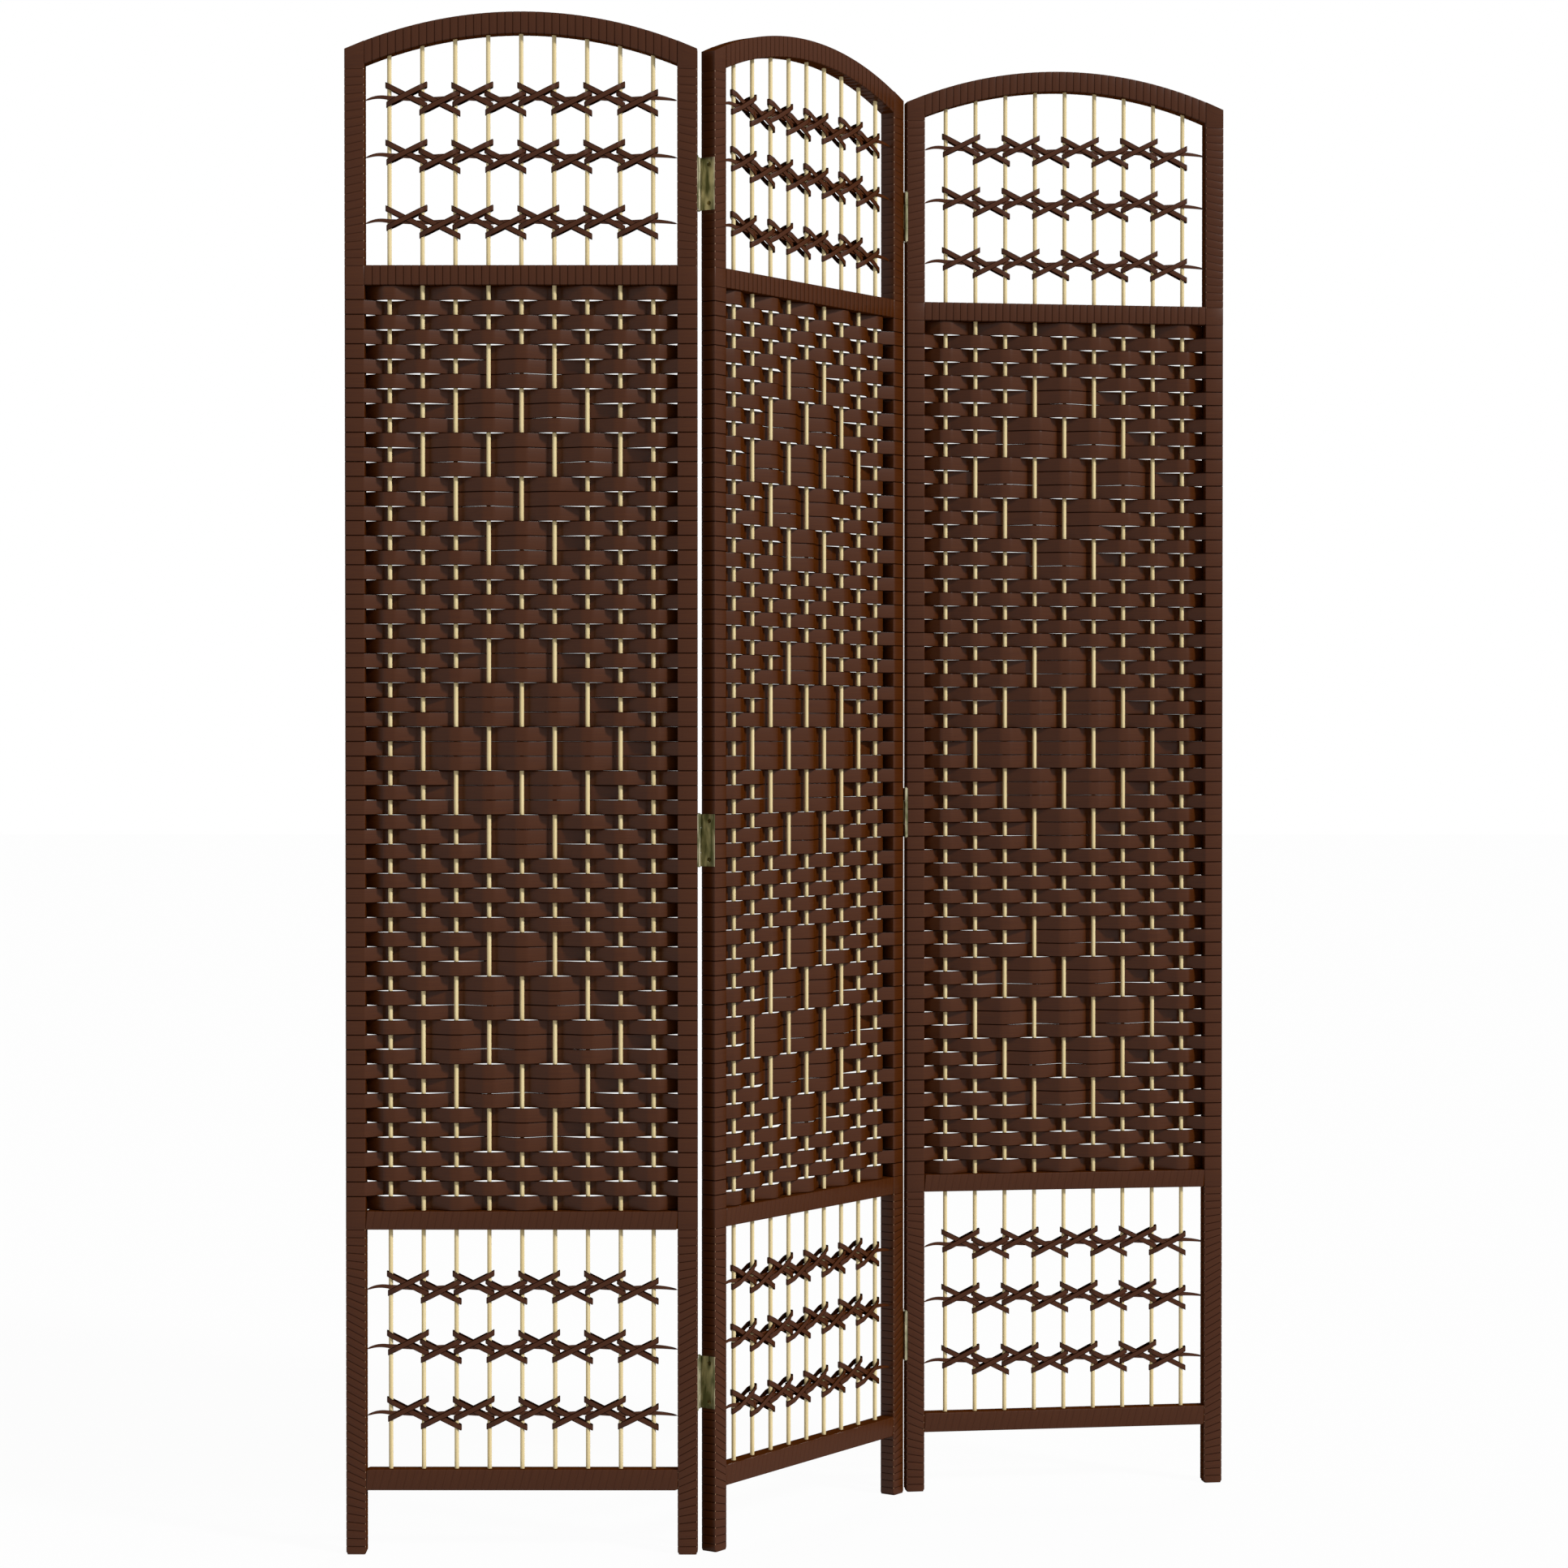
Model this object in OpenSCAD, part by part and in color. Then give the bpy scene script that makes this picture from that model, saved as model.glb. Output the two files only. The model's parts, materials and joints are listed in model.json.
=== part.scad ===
// Three-panel folding screen: wrapped wooden frames, upright rods, and flat ribbon
// woven between the rods. The panels stand in a zigzag and fold on two hinge lines.
// In a panel's own frame x runs along its width from its left edge, y runs from front
// to back with 0 at mid depth, and z runs up from the floor.

/* [Panel] */
// Overall height, at the crown of the arch
screen_h = 1700; // [1400:10:2050]
// Width of one panel over its two posts
panel_w = 388; // [320:1:470]
// Depth of a panel from its front face to its back face
panel_d = 19; // [17:0.5:24]
// Rise of the arch from the outer edge of a post to the crown
arch_rise = 41; // [20:1:60]
// Height of the arch, measured square to its curve
arch_h = 22.5; // [18:0.5:26]

/* [Frame] */
// Face width of a post with its wrap
post_w = 22; // [19:0.5:27]
// Height of a straight rail with its wrap
rail_h = 20.5; // [17:0.5:25]
// Clear height under the bottom rail
foot_h = 72; // [40:1:120]
// Clear height of the lower lattice
lower_open_h = 266.5; // [200:0.5:340]
// Height from the upper rail to the outer top corner of a post
upper_open_h = 238.5; // [180:0.5:300]
// Thickness of the ribbon wrap on the wood
wrap_t = 1.2; // [0.8:0.1:1.6]
// Radius of the wrapped edges
edge_r = 2; // [1:0.1:3]
// Chamfer at the foot of a post
foot_chamfer = 2.5; // [1:0.1:4]
// Length, height and thickness of a tenon
tenon = [12, 10, 8]; // [6:0.5:15]

/* [Rods] */
// Number of upright rods in a panel
rod_count = 9; // [7:2:11]
// Diameter of a rod
rod_d = 4.8; // [4:0.1:6]
// Distance from a post to the first rod's axis
rod_edge = 26.7; // [18:0.1:34]
// Depth of a rod's socket in the arch and in the bottom rail
socket_depth = 10; // [6:0.5:14]

/* [Woven ribbons] */
// Width of the ribbon
ribbon_w = 15.8; // [12:0.1:20]
// Thickness of the ribbon
ribbon_t = 1; // [0.6:0.1:1.4]
// Least gap between two rows
row_gap_min = 0.3; // [0.2:0.05:1]
// Distance between the ribbons in front of the rods and those behind them
weave_depth = 12.8; // [8:0.2:14]
// Length of ribbon that runs level past a rod
level_run = 12; // [4:0.5:18]
// Rows above the first diamond, counted from the upper rail
diamond_first = 5; // [3:1:9]
// Rows from one diamond to the next
diamond_pitch = 20; // [18:1:30]
// Row and rod of the one place where the pattern misses a float
slip = [15, 7]; // [0:1:63]

/* [Lattice] */
// Heights of the upper knot rows, as shares of the clear height there
upper_rows = [0.211, 0.512, 0.782]; // [0.1:0.001:0.9]
// Heights of the lower knot rows, as shares of the clear height there
lower_rows = [0.234, 0.51, 0.757]; // [0.1:0.001:0.9]
// Width of the narrow ribbon
strip_w = 5.4; // [4:0.1:6]
// Thickness of the narrow ribbon
strip_t = 0.9; // [0.6:0.1:1.2]
// Height of the strand that the knots tie
strand_h = 4; // [3:0.1:5]
// Rise of a loop from the middle of its knot to the rod
knot_rise = 9.1; // [8:0.1:12]
// Step in height between one knot and the next
knot_step = 8.4; // [7.6:0.1:9]

/* [Hinges] */
// Height of a hinge
hinge_h = 58; // [46:1:70]
// Height of the lowest hinge above the floor
hinge_low = 188; // [120:1:260]
// Drop of the top hinge from the post's corner, left line then right line
hinge_drop = [146, 137]; // [100:1:200]
// Drop of the middle hinge from halfway between the others, left then right
hinge_mid_drop = [62, 42]; // [0:1:90]
// Width of a leaf from the pin's axis to its free edge
leaf_w = 20.5; // [14:0.5:20.5]
// Thickness of a leaf
leaf_t = 1.1; // [0.8:0.1:1.2]
// Outer diameter of the barrel
barrel_d = 5.2; // [4.4:0.1:5.6]
// Diameter of the pin
pin_d = 2.4; // [1.8:0.1:2.8]
// Height of an end knuckle
knuckle_h = 15; // [10:0.5:18]
// Distance from the pin's axis to the faces that meet when folded
axis_out = 2; // [2:0.1:4]
// Gap between two panels that stand in line
panel_gap = 2.6; // [2.5:0.1:4]
// Diameter of a screw's shank
screw_d = 2.6; // [2:0.1:3.2]
// Diameter of a screw's countersunk head
screw_head_d = 5.2; // [4.4:0.1:6]
// Length of a screw with its head
screw_l = 14; // [10:0.5:16]
// Distance from the pin's axis to the screws
screw_in = 13.5; // [10:0.5:16]
// Distance from the end of a leaf to its screw
screw_end = 7.5; // [5:0.5:12]
// Width and depth of a screw's slot
screw_slot = [1, 0.6]; // [0.4:0.1:1.2]
// Turn of a screw's slot from level
slot_turn = 35; // [0:5:90]

/* [Stance] */
// Fold between the left and the middle panel, 0 in line and 180 flat
left_fold = 55.8; // [5:0.1:175]
// Fold between the middle and the right panel, 0 in line and 180 flat
right_fold = 47.3; // [5:0.1:175]

/* [Clearances] */
// Play round a rod in the wood
rod_play = 0.15; // [0.1:0.05:0.4]
// Play round a rod in a wrap
rod_wrap_play = 0.5; // [0.3:0.1:1]
// Play between a wrap or a woven ring and its wooden core
core_play = 0.1; // [0.05:0.05:0.2]
// Play of a tenon in its mortise
tenon_play = 0.1; // [0.05:0.05:0.3]
// Play round a rod in a knot
knot_play = 0.3; // [0.2:0.05:0.5]
// Seam between two wraps, and between a leaf and its post
seam = 0.05; // [0.02:0.01:0.1]
// Play of the pin in its knuckles
pin_play = 0.08; // [0.05:0.01:0.15]
// Play between knuckles, and between a knuckle and the other leaf
knuckle_play = 0.3; // [0.2:0.05:0.5]
// Play of a screw in its hole
screw_play = 0.06; // [0.04:0.01:0.15]

/* [Hidden] */

// Colours as the photograph shows them
ribbon_colour = "#4A2D22";
wood_colour = "#8A6A48";
rod_colour = "#DECB98";
brass_colour = "#8C8250";

// Heights of the frame, from the floor up
corner_z = screen_h - arch_rise;
bottom_rail_z = foot_h;
lower_rail_z = bottom_rail_z + rail_h + lower_open_h;
upper_rail_z = corner_z - upper_open_h - rail_h;
weave_z = lower_rail_z + rail_h;
weave_h = upper_rail_z - weave_z;

// The arch is one circle through both outer corners and the crown
arch_r = (pow(panel_w / 2, 2) + pow(arch_rise, 2)) / (2 * arch_rise);
arch_z = screen_h - arch_r;
function arch_inner_z(x) = arch_z + sqrt(pow(arch_r - arch_h, 2) - pow(x - panel_w / 2, 2));

// The wooden cores lie inside the wraps
core_w = post_w - 2 * wrap_t;
core_d = panel_d - 2 * wrap_t;
rail_core_h = rail_h - 2 * wrap_t;
clear_w = panel_w - 2 * post_w;

// The rods are spaced evenly between the posts
rod_pitch = (clear_w - 2 * rod_edge) / (rod_count - 1);
function rod_x(i) = post_w + rod_edge + (i - 1) * rod_pitch;

// An odd number of rows fills the height between the rails
row_count = 2 * floor((weave_h / (ribbon_w + row_gap_min) - 1) / 2) + 1;
row_pitch = weave_h / row_count;
row_gap = row_pitch - ribbon_w;
corner_steps = 2;
// Overlap of two ribbons that are one piece where they meet
lap = 0.1;

// Folds and hinge axes in plan, with the left panel along x
turn = [0, left_fold, left_fold - right_fold];
function along(a) = [cos(a), sin(a)];
function across(a) = [-sin(a), cos(a)];
axis_off = panel_d / 2 + axis_out;
left_axis = (panel_w + panel_gap / 2) * along(turn[0]) + axis_off * across(turn[0]);
middle_at = left_axis + panel_gap / 2 * along(turn[1]) - axis_off * across(turn[1]);
right_axis = middle_at + (panel_w + panel_gap / 2) * along(turn[1])
    - axis_off * across(turn[1]);
right_at = right_axis + panel_gap / 2 * along(turn[2]) + axis_off * across(turn[2]);
start = [[0, 0], middle_at, right_at];
corners = [for (p = [0:2], x = [0, panel_w], y = [-1, 1])
    start[p] + x * along(turn[p]) + y * panel_d / 2 * across(turn[p])];
xs = [for (c = corners) c[0]];
ys = [for (c = corners) c[1]];
middle_of_all = [(min(xs) + max(xs)) / 2, (min(ys) + max(ys)) / 2];

// Hinges of each line: lowest, middle and top, at their mid height
function hinge_heights(line) =
    let (top = corner_z - hinge_drop[line])
    [hinge_low, (hinge_low + top) / 2 - hinge_mid_drop[line], top];
// Which edge of each panel has hinges, which face their barrel is on, and their line:
// an edge of 0 is the left one, and a face of 1 is the back
hinged_edges = [[[1, 1, 0]], [[0, 1, 0], [1, -1, 1]], [[0, -1, 1]]];
function screw_zs(line) = [for (z = hinge_heights(line), s = [-1, 1])
    z + s * (hinge_h / 2 - screw_end)];

module on_panel(p) {
    translate([start[p][0] - middle_of_all[0], start[p][1] - middle_of_all[1], 0])
        rotate(turn[p])
            children();
}

// Points of a rectangle from x0 to x1, centred on y, with rounded corners
function round_corner(x, y, from) = [for (i = [0:corner_steps])
    [x, y] + edge_r * along(from + 90 * i / corner_steps)];
function rounded(x0, x1, d) = concat(
    round_corner(x1 - edge_r, d / 2 - edge_r, 0),
    round_corner(x0 + edge_r, d / 2 - edge_r, 90),
    round_corner(x0 + edge_r, -d / 2 + edge_r, 180),
    round_corner(x1 - edge_r, -d / 2 + edge_r, 270));

// A box given by its corners in x and z, centred on y
module block(x0, x1, d, z0, z1) {
    translate([x0, -d / 2, z0])
        cube([x1 - x0, d, z1 - z0]);
}

// The full round of the arch, d deep, and what lies above it between the outer corners
module arch_round(r, d) {
    translate([panel_w / 2, 0, arch_z])
        rotate([90, 0, 0])
            cylinder(r = r, h = d, center = true, $fn = 360);
}
module over_arch(r) {
    difference() {
        block(-1, panel_w + 1, 2 * panel_d, corner_z - 2 * arch_h, screen_h + 1);
        arch_round(r, 3 * panel_d);
    }
}

// Upright round holes at every rod, from z0 to the heights in tops
module rod_holes(z0, tops, play) {
    for (i = [1:rod_count])
        translate([rod_x(i), 0, z0])
            cylinder(d = rod_d + 2 * play, h = tops[i - 1] - z0, $fn = 24);
}
function at_every_rod(z) = [for (i = [1:rod_count]) z];

// Holes for the hinge screws of panel p
module screw_holes(p) {
    for (edge = hinged_edges[p], z = screw_zs(edge[2]))
        translate([edge[0] * panel_w, edge[1] * (axis_off - screw_in), z])
            rotate([0, edge[0] == 0 ? 90 : -90, 0])
                translate([0, 0, -1])
                    cylinder(d = screw_d + 2 * screw_play, h = screw_l + 2, $fn = 24);
}

// Post: a square wooden stick, chamfered at the foot, cut to the arch at the top,
// with a mortise for each rail
module post(p, edge) {
    x0 = edge * (panel_w - post_w) + wrap_t;
    x1 = x0 + core_w;
    c = foot_chamfer - wrap_t;
    color(wood_colour)
        difference() {
            rotate([90, 0, 0])
                linear_extrude(core_d, center = true)
                    polygon([[x0 + c, 0], [x1 - c, 0], [x1, c],
                        [x1, screen_h], [x0, screen_h], [x0, c]]);
            over_arch(arch_r - wrap_t);
            for (z = straight_rails)
                tenon_block(edge, z + rail_h / 2, tenon_play);
            tenon_block(edge, arch_tenon_z, tenon_play);
            screw_holes(p);
        }
}
straight_rails = [bottom_rail_z, lower_rail_z, upper_rail_z];

// A tenon's place at an edge of the panel, at mid height z
module tenon_block(edge, z, play) {
    w = tenon[0] + play;
    x0 = edge == 0 ? post_w - wrap_t - w : panel_w - post_w + wrap_t;
    block(x0, x0 + w, tenon[2] + 2 * play, z - tenon[1] / 2 - play,
        z + tenon[1] / 2 + play);
}

// Straight rail: a wooden bar with a tenon at each end, bored through for the rods
// or, in the bottom rail, bored to a depth
module straight_rail(z, bore_from) {
    color(wood_colour)
        difference() {
            union() {
                block(post_w - wrap_t, panel_w - post_w + wrap_t, core_d,
                    z + wrap_t, z + rail_h - wrap_t);
                for (edge = [0, 1])
                    tenon_block(edge, z + rail_h / 2, 0);
            }
            rod_holes(bore_from, at_every_rod(z + rail_h), rod_play);
        }
}

// Arch rail: a bent wooden bar between the posts, with tenons and blind sockets
arch_core_in = arch_r - arch_h + wrap_t;
arch_tenon_z = arch_inner_z(post_w) + wrap_t + tenon[1] / 2 + 1;
module arch_rail() {
    x0 = post_w - wrap_t;
    color(wood_colour)
        difference() {
            union() {
                difference() {
                    intersection() {
                        arch_round(arch_r - wrap_t, core_d);
                        block(x0, panel_w - x0, core_d, corner_z - 2 * arch_h, screen_h);
                    }
                    arch_round(arch_core_in, panel_d);
                }
                for (edge = [0, 1])
                    tenon_block(edge, arch_tenon_z, 0);
            }
            rod_holes(corner_z - 2 * arch_h, [for (i = [1:rod_count]) rod_top(i) + rod_play],
                rod_play);
        }
}

// Rods: round sticks from their sockets in the bottom rail to those in the arch
function rod_top(i) = arch_inner_z(rod_x(i)) + wrap_t + socket_depth;
rod_foot_z = bottom_rail_z + rail_h - wrap_t - socket_depth;
module rods() {
    color(rod_colour)
        for (i = [1:rod_count])
            translate([rod_x(i), 0, rod_foot_z])
                cylinder(d = rod_d, h = rod_top(i) - rod_foot_z, $fn = 24);
}

// Weave order: the side of rod i that row r passes on, -1 in front and 1 behind.
// Rows and rods alternate, and in every third row of a diamond the rods near the
// middle change over, so that they stay in front for three rows running
diamond_count = floor((row_count - 2 * diamond_first - 13) / diamond_pitch) + 1;
function reach(r) =
    let (q = r - diamond_first - 1,
        k = (q % diamond_pitch) / 3,
        inside = q >= 0 && q < diamond_count * diamond_pitch && k <= 4 && k == floor(k))
    inside ? 3 - abs(k - 2) : -1;
function changed(i, r) = abs(i - (rod_count + 1) / 2) <= reach(r)
    && !(r == slip[0] && i == slip[1]);
function side(i, r) = ((i + r) % 2 == 1) != changed(i, r) ? 1 : -1;

// Middle line of row r: it leaves a post on the side that it doesn't take at the first
// rod, and runs level past every rod
function middle_line(r) = let (out = panel_d / 2 - edge_r - ribbon_t / 2 - lap) concat(
    [[post_w - lap, -side(1, r) * out]],
    [for (i = [1:rod_count], s = [-1, 1])
        [rod_x(i) + s * level_run / 2, side(i, r) * weave_depth / 2]],
    [[panel_w - post_w + lap, -side(rod_count, r) * out]]);
// The line m moved sideways by d, square to itself
function shifted(m, d) = [for (i = [0:len(m) - 1])
    let (v = m[min(i + 1, len(m) - 1)] - m[max(i - 1, 0)],
        flat = i == 0 || i == len(m) - 1)
    m[i] + (flat ? [0, d] : d * [-v[1], v[0]] / norm(v))];
function backwards(points) = [for (i = [len(points) - 1:-1:0]) points[i]];
module woven_row(r) {
    m = middle_line(r);
    translate([0, 0, upper_rail_z - r * row_pitch + row_gap / 2])
        linear_extrude(ribbon_w)
            polygon(concat(shifted(m, -ribbon_t / 2), backwards(shifted(m, ribbon_t / 2))));
}
// The ribbon of a panel is wound round both posts as it is woven, so its turns there
// and its rows are one piece
module woven_ribbons(p) {
    color(ribbon_colour)
        difference() {
            union() {
                for (r = [1:row_count])
                    woven_row(r);
                for (edge = [0, 1])
                    difference() {
                        sleeve(edge, weave_z + seam, upper_rail_z - seam);
                        sleeve_core(edge, weave_z - 1, upper_rail_z + 1);
                    }
            }
            screw_holes(p);
        }
}

// Loop of a knot: a ring of ribbon round two rods, tilted, its front and back standing
// off the rods by off and its ends just clear of them
knot_tilt = atan(knot_rise / (rod_pitch / 2));
module loop(tilt, off) {
    x = (rod_pitch / 2 + rod_d / 2 + knot_play + strip_w / 2 * sin(knot_tilt)) / cos(tilt);
    y = rod_d / 2 + off;
    rotate([0, tilt, 0])
        linear_extrude(strip_w, center = true)
            difference() {
                square(2 * [x + strip_t, y + strip_t], center = true);
                square(2 * [x, y], center = true);
            }
}
// The strand that the knots tie: flat ribbon between the rods and the loops, with a
// point at each post
module strand() {
    ends = [post_w + knot_play, panel_w - post_w - knot_play];
    rods = [rod_x(1) - rod_d / 2, rod_x(rod_count) + rod_d / 2];
    h = strand_h / 2;
    tip = strand_h / 8;
    translate([0, -rod_d / 2 - knot_play / 2, 0])
        rotate([90, 0, 0])
            linear_extrude(strip_t)
                polygon([[ends[0], -tip], [rods[0], -h], [rods[1], -h], [ends[1], -tip],
                    [ends[1], tip], [rods[1], h], [rods[0], h], [ends[0], tip]]);
}
// One row of the lattice at height z: the strand, and a knot of two crossed loops
// round each pair of rods, every second knot lower by a step
module knot_row(z) {
    inner = knot_play + strip_t;
    translate([0, 0, z]) {
        strand();
        for (i = [1:rod_count - 1])
            translate([rod_x(i) + rod_pitch / 2, 0, (i % 2 - 0.5) * knot_step]) {
                loop(knot_tilt, inner);
                loop(-knot_tilt, inner + strip_t - lap);
            }
    }
}
module upper_lattice() {
    color(ribbon_colour)
        for (share = upper_rows)
            knot_row(upper_rail_z + rail_h + share * upper_open_h);
}
module lower_lattice() {
    color(ribbon_colour)
        for (share = lower_rows)
            knot_row(bottom_rail_z + rail_h + share * lower_open_h);
}

// Wraps of the posts: a sleeve of wound ribbon from the foot to the weave, and one
// from the weave over the top, open where a rail goes in
module sleeve(edge, z0, z1) {
    x0 = edge * (panel_w - post_w);
    translate([0, 0, z0])
        linear_extrude(z1 - z0)
            polygon(rounded(x0, x0 + post_w, panel_d));
}
module sleeve_core(edge, z0, z1) {
    x0 = edge * (panel_w - post_w) + wrap_t - core_play;
    block(x0, x0 + core_w + 2 * core_play, core_d + 2 * core_play, z0, z1);
}
module rail_window(edge, z0, z1) {
    x0 = edge == 0 ? post_w - 2 * wrap_t : panel_w - post_w - wrap_t;
    block(x0, x0 + 3 * wrap_t, core_d + 2 * core_play, z0 - core_play, z1 + core_play);
}
module post_wraps(p) {
    c = foot_chamfer;
    color(ribbon_colour)
        for (edge = [0, 1])
            difference() {
                union() {
                    sleeve(edge, 0, weave_z);
                    sleeve(edge, upper_rail_z, screen_h);
                }
                over_arch(arch_r);
                for (x = [edge * (panel_w - post_w), edge * (panel_w - post_w) + post_w])
                    translate([x, 0, 0])
                        rotate([0, 45, 0])
                            cube([sqrt(2) * c, 2 * panel_d, sqrt(2) * c], center = true);
                difference() {
                    sleeve_core(edge, -1, screen_h);
                    over_arch(arch_r - wrap_t + core_play);
                }
                for (z = straight_rails)
                    rail_window(edge, z + wrap_t, z + rail_h - wrap_t);
                arch_window(edge);
                screw_holes(p);
            }
}
// The arch's core as it passes through a post's wrap
module arch_window(edge) {
    intersection() {
        rail_window(edge, corner_z - 2 * arch_h, screen_h);
        difference() {
            arch_round(arch_r - wrap_t + core_play, panel_d);
            arch_round(arch_core_in - core_play, 2 * panel_d);
        }
    }
}

// Wraps of the rails: sleeves of wound ribbon between the posts, open for the rods
module rail_wraps() {
    color(ribbon_colour) {
        for (z = straight_rails)
            difference() {
                translate([post_w + seam, 0, z])
                    rotate([90, 0, 90])
                        linear_extrude(clear_w - 2 * seam)
                            translate([0, rail_h / 2])
                                rotate(90)
                                    polygon(rounded(-rail_h / 2, rail_h / 2, panel_d));
                block(0, panel_w, core_d + 2 * core_play, z + wrap_t - core_play,
                    z + rail_h - wrap_t + core_play);
                rod_holes(z == bottom_rail_z ? z + rail_h / 2 : z - 1,
                    at_every_rod(z + rail_h + 1), rod_wrap_play);
            }
        arch_wrap();
    }
}
module arch_wrap() {
    half_angle = asin((clear_w / 2 + 5) / (arch_r - arch_h));
    difference() {
        intersection() {
            translate([panel_w / 2, 0, arch_z])
                rotate([90, 0, 0])
                    rotate_extrude(angle = 2 * half_angle, start = 90 - half_angle, $fn = 360)
                        polygon(rounded(arch_r - arch_h, arch_r, panel_d));
            block(post_w + seam, panel_w - post_w - seam, 2 * panel_d,
                corner_z - 2 * arch_h, screen_h + 1);
        }
        difference() {
            arch_round(arch_r - wrap_t + core_play, core_d + 2 * core_play);
            arch_round(arch_core_in - core_play, 2 * panel_d);
        }
        rod_holes(corner_z - 2 * arch_h,
            [for (i = [1:rod_count]) arch_inner_z(rod_x(i)) + arch_h / 2], rod_wrap_play);
    }
}

// Hinges stand with the pin's axis at the origin and one leaf to the left, against a
// post's edge; hinge_at() puts them at every height of a line, turned to their panel
module hinge_at(p, edge, face, line) {
    on_panel(p)
        for (z = hinge_heights(line))
            translate([edge * panel_w + (edge == 0 ? -1 : 1) * panel_gap / 2,
                face * axis_off, z])
                mirror([edge == 0 ? 1 : 0, 0, 0])
                    mirror([0, face < 0 ? 1 : 0, 0])
                        children();
}
mid_knuckle_h = hinge_h - 2 * knuckle_h - 2 * knuckle_play;
leaf_x = -panel_gap / 2 + seam;
module knuckle(z0, h) {
    translate([0, 0, z0])
        cylinder(d = barrel_d, h = h, $fn = 32);
    translate([leaf_x, -leaf_w / 2, z0])
        cube([leaf_t, leaf_w / 2, h]);
}
// Leaf with its screw holes, and knuckles at both ends or one in the middle
module leaf(end_knuckles) {
    stop = barrel_d / 2 + knuckle_play;
    color(brass_colour)
        difference() {
            union() {
                translate([leaf_x, -leaf_w, -hinge_h / 2])
                    cube([leaf_t, leaf_w - stop, hinge_h]);
                if (end_knuckles)
                    for (s = [0, 1])
                        knuckle(s == 0 ? -hinge_h / 2 : hinge_h / 2 - knuckle_h, knuckle_h);
                else
                    knuckle(-mid_knuckle_h / 2, mid_knuckle_h);
            }
            cylinder(d = pin_d + 2 * pin_play, h = 2 * hinge_h, center = true, $fn = 32);
            for (s = [-1, 1])
                screw_place(s)
                    screw_form(screw_play);
        }
}
// A screw's place on a leaf: head flush with the leaf, shank into the post
module screw_place(s) {
    translate([leaf_x + leaf_t, -screw_in, s * (hinge_h / 2 - screw_end)])
        rotate([0, -90, 0])
            children();
}
module screw_form(play) {
    cylinder(d1 = screw_head_d + 2 * play, d2 = screw_d + 2 * play, h = leaf_t, $fn = 32);
    cylinder(d = screw_d + 2 * play, h = screw_l, $fn = 32);
}
module screws() {
    color(brass_colour)
        for (s = [-1, 1])
            screw_place(s)
                difference() {
                    screw_form(0);
                    rotate(s * slot_turn)
                        cube([2 * screw_head_d, screw_slot[0], 2 * screw_slot[1]], center = true);
                }
}
// Pin with a button at each end
module pin() {
    color(brass_colour) {
        cylinder(d = pin_d, h = hinge_h + 2 * pin_play, center = true, $fn = 32);
        for (s = [-1, 1])
            mirror([0, 0, s < 0 ? 1 : 0])
                translate([0, 0, hinge_h / 2 + pin_play])
                    cylinder(d1 = pin_d + 1.4, d2 = pin_d, h = 0.9, $fn = 32);
    }
}

on_panel(0) post(0, 0);  // left_panel_left_post
on_panel(0) post(0, 1);  // left_panel_right_post
on_panel(0) arch_rail();  // left_panel_arch_rail
on_panel(0) straight_rail(upper_rail_z, upper_rail_z);  // left_panel_upper_rail
on_panel(0) straight_rail(lower_rail_z, lower_rail_z);  // left_panel_lower_rail
on_panel(0) straight_rail(bottom_rail_z, rod_foot_z);  // left_panel_bottom_rail
on_panel(0) rods();  // left_panel_rods
on_panel(0) woven_ribbons(0);  // left_panel_woven_ribbons
on_panel(0) upper_lattice();  // left_panel_upper_lattice
on_panel(0) lower_lattice();  // left_panel_lower_lattice
on_panel(0) post_wraps(0);  // left_panel_post_wraps
on_panel(0) rail_wraps();  // left_panel_rail_wraps

on_panel(1) post(1, 0);  // middle_panel_left_post
on_panel(1) post(1, 1);  // middle_panel_right_post
on_panel(1) arch_rail();  // middle_panel_arch_rail
on_panel(1) straight_rail(upper_rail_z, upper_rail_z);  // middle_panel_upper_rail
on_panel(1) straight_rail(lower_rail_z, lower_rail_z);  // middle_panel_lower_rail
on_panel(1) straight_rail(bottom_rail_z, rod_foot_z);  // middle_panel_bottom_rail
on_panel(1) rods();  // middle_panel_rods
on_panel(1) woven_ribbons(1);  // middle_panel_woven_ribbons
on_panel(1) upper_lattice();  // middle_panel_upper_lattice
on_panel(1) lower_lattice();  // middle_panel_lower_lattice
on_panel(1) post_wraps(1);  // middle_panel_post_wraps
on_panel(1) rail_wraps();  // middle_panel_rail_wraps

on_panel(2) post(2, 0);  // right_panel_left_post
on_panel(2) post(2, 1);  // right_panel_right_post
on_panel(2) arch_rail();  // right_panel_arch_rail
on_panel(2) straight_rail(upper_rail_z, upper_rail_z);  // right_panel_upper_rail
on_panel(2) straight_rail(lower_rail_z, lower_rail_z);  // right_panel_lower_rail
on_panel(2) straight_rail(bottom_rail_z, rod_foot_z);  // right_panel_bottom_rail
on_panel(2) rods();  // right_panel_rods
on_panel(2) woven_ribbons(2);  // right_panel_woven_ribbons
on_panel(2) upper_lattice();  // right_panel_upper_lattice
on_panel(2) lower_lattice();  // right_panel_lower_lattice
on_panel(2) post_wraps(2);  // right_panel_post_wraps
on_panel(2) rail_wraps();  // right_panel_rail_wraps

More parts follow.
